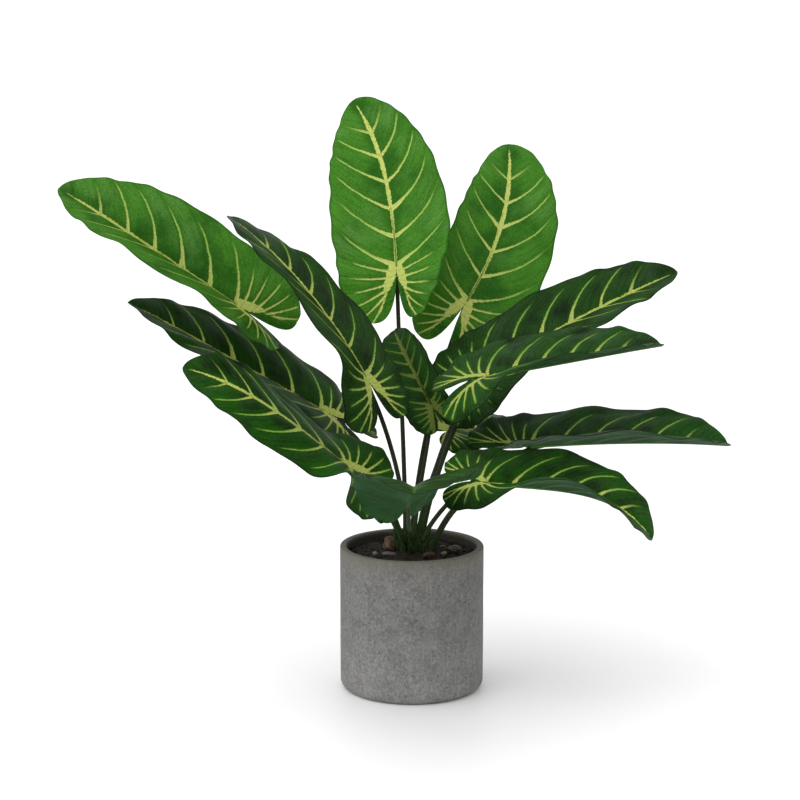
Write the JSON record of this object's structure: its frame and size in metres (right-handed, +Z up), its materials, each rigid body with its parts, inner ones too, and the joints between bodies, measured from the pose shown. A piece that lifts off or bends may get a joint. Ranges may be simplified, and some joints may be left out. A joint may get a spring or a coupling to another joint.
{
  "type": "potted plant",
  "caption": "Leafy tabletop foliage plant: long heart-based leaves with yellow-green veins on thin stalks, in a plain round cement pot filled with soil.",
  "frame": {"origin": "middle of the pot's flat underside", "axes": "+Z up along the pot's axis, the front of the plant towards -Y, +X to the right as seen from the front"},
  "size_m": [0.612, 0.4914, 0.5266],
  "materials": {
    "cement": "matte, mottled grey cement",
    "soil": "crumbly, dark potting mix of bark and peat",
    "stem": "satin, ribbed green stem",
    "bright_leaf": "satin leaf blade, fresh green with yellow-green veins",
    "dark_leaf": "satin leaf blade, dark green with yellow-green veins",
    "stalk": "satin, dark green-brown stalk",
    "bark": "rough tan bark",
    "red_bark": "rough red-brown bark",
    "slate": "matte mauve-grey chip",
    "speckled_stone": "matte, dark and speckled",
    "tan_stone": "matte tan pebble",
    "pale_stone": "matte pale pebble",
    "olive_stone": "matte olive pebble"
  },
  "bodies": {
    "root": {"cement_pot": "cement", "potting_soil": "soil", "stem_clump": "stem", "leaf_upper_left": "bright_leaf", "stalk_upper_left": "stalk", "leaf_left_diagonal": "dark_leaf", "stalk_left_diagonal": "stalk", "leaf_top": "bright_leaf", "stalk_top": "stalk", "leaf_upper_right": "bright_leaf", "stalk_upper_right": "stalk", "leaf_left": "dark_leaf", "stalk_left": "stalk", "leaf_lower_left": "dark_leaf", "stalk_lower_left": "stalk", "leaf_right_high": "dark_leaf", "stalk_right_high": "stalk", "leaf_right_folded": "dark_leaf", "stalk_right_folded": "stalk", "leaf_right": "dark_leaf", "stalk_right": "stalk", "leaf_lower_right": "dark_leaf", "stalk_lower_right": "stalk", "leaf_centre": "dark_leaf", "stalk_centre": "stalk", "leaf_inner_right": "dark_leaf", "stalk_inner_right": "stalk", "leaf_front": "dark_leaf", "stalk_front": "stalk", "bark_chip": "bark", "slate_chip": "slate", "pale_pebble": "pale_stone", "speckled_pebble": "speckled_stone", "red_bark_chip": "red_bark", "tan_pebble": "tan_stone", "sand_pebble": "tan_stone", "olive_pebble": "olive_stone"}
  },
  "joints": []
}
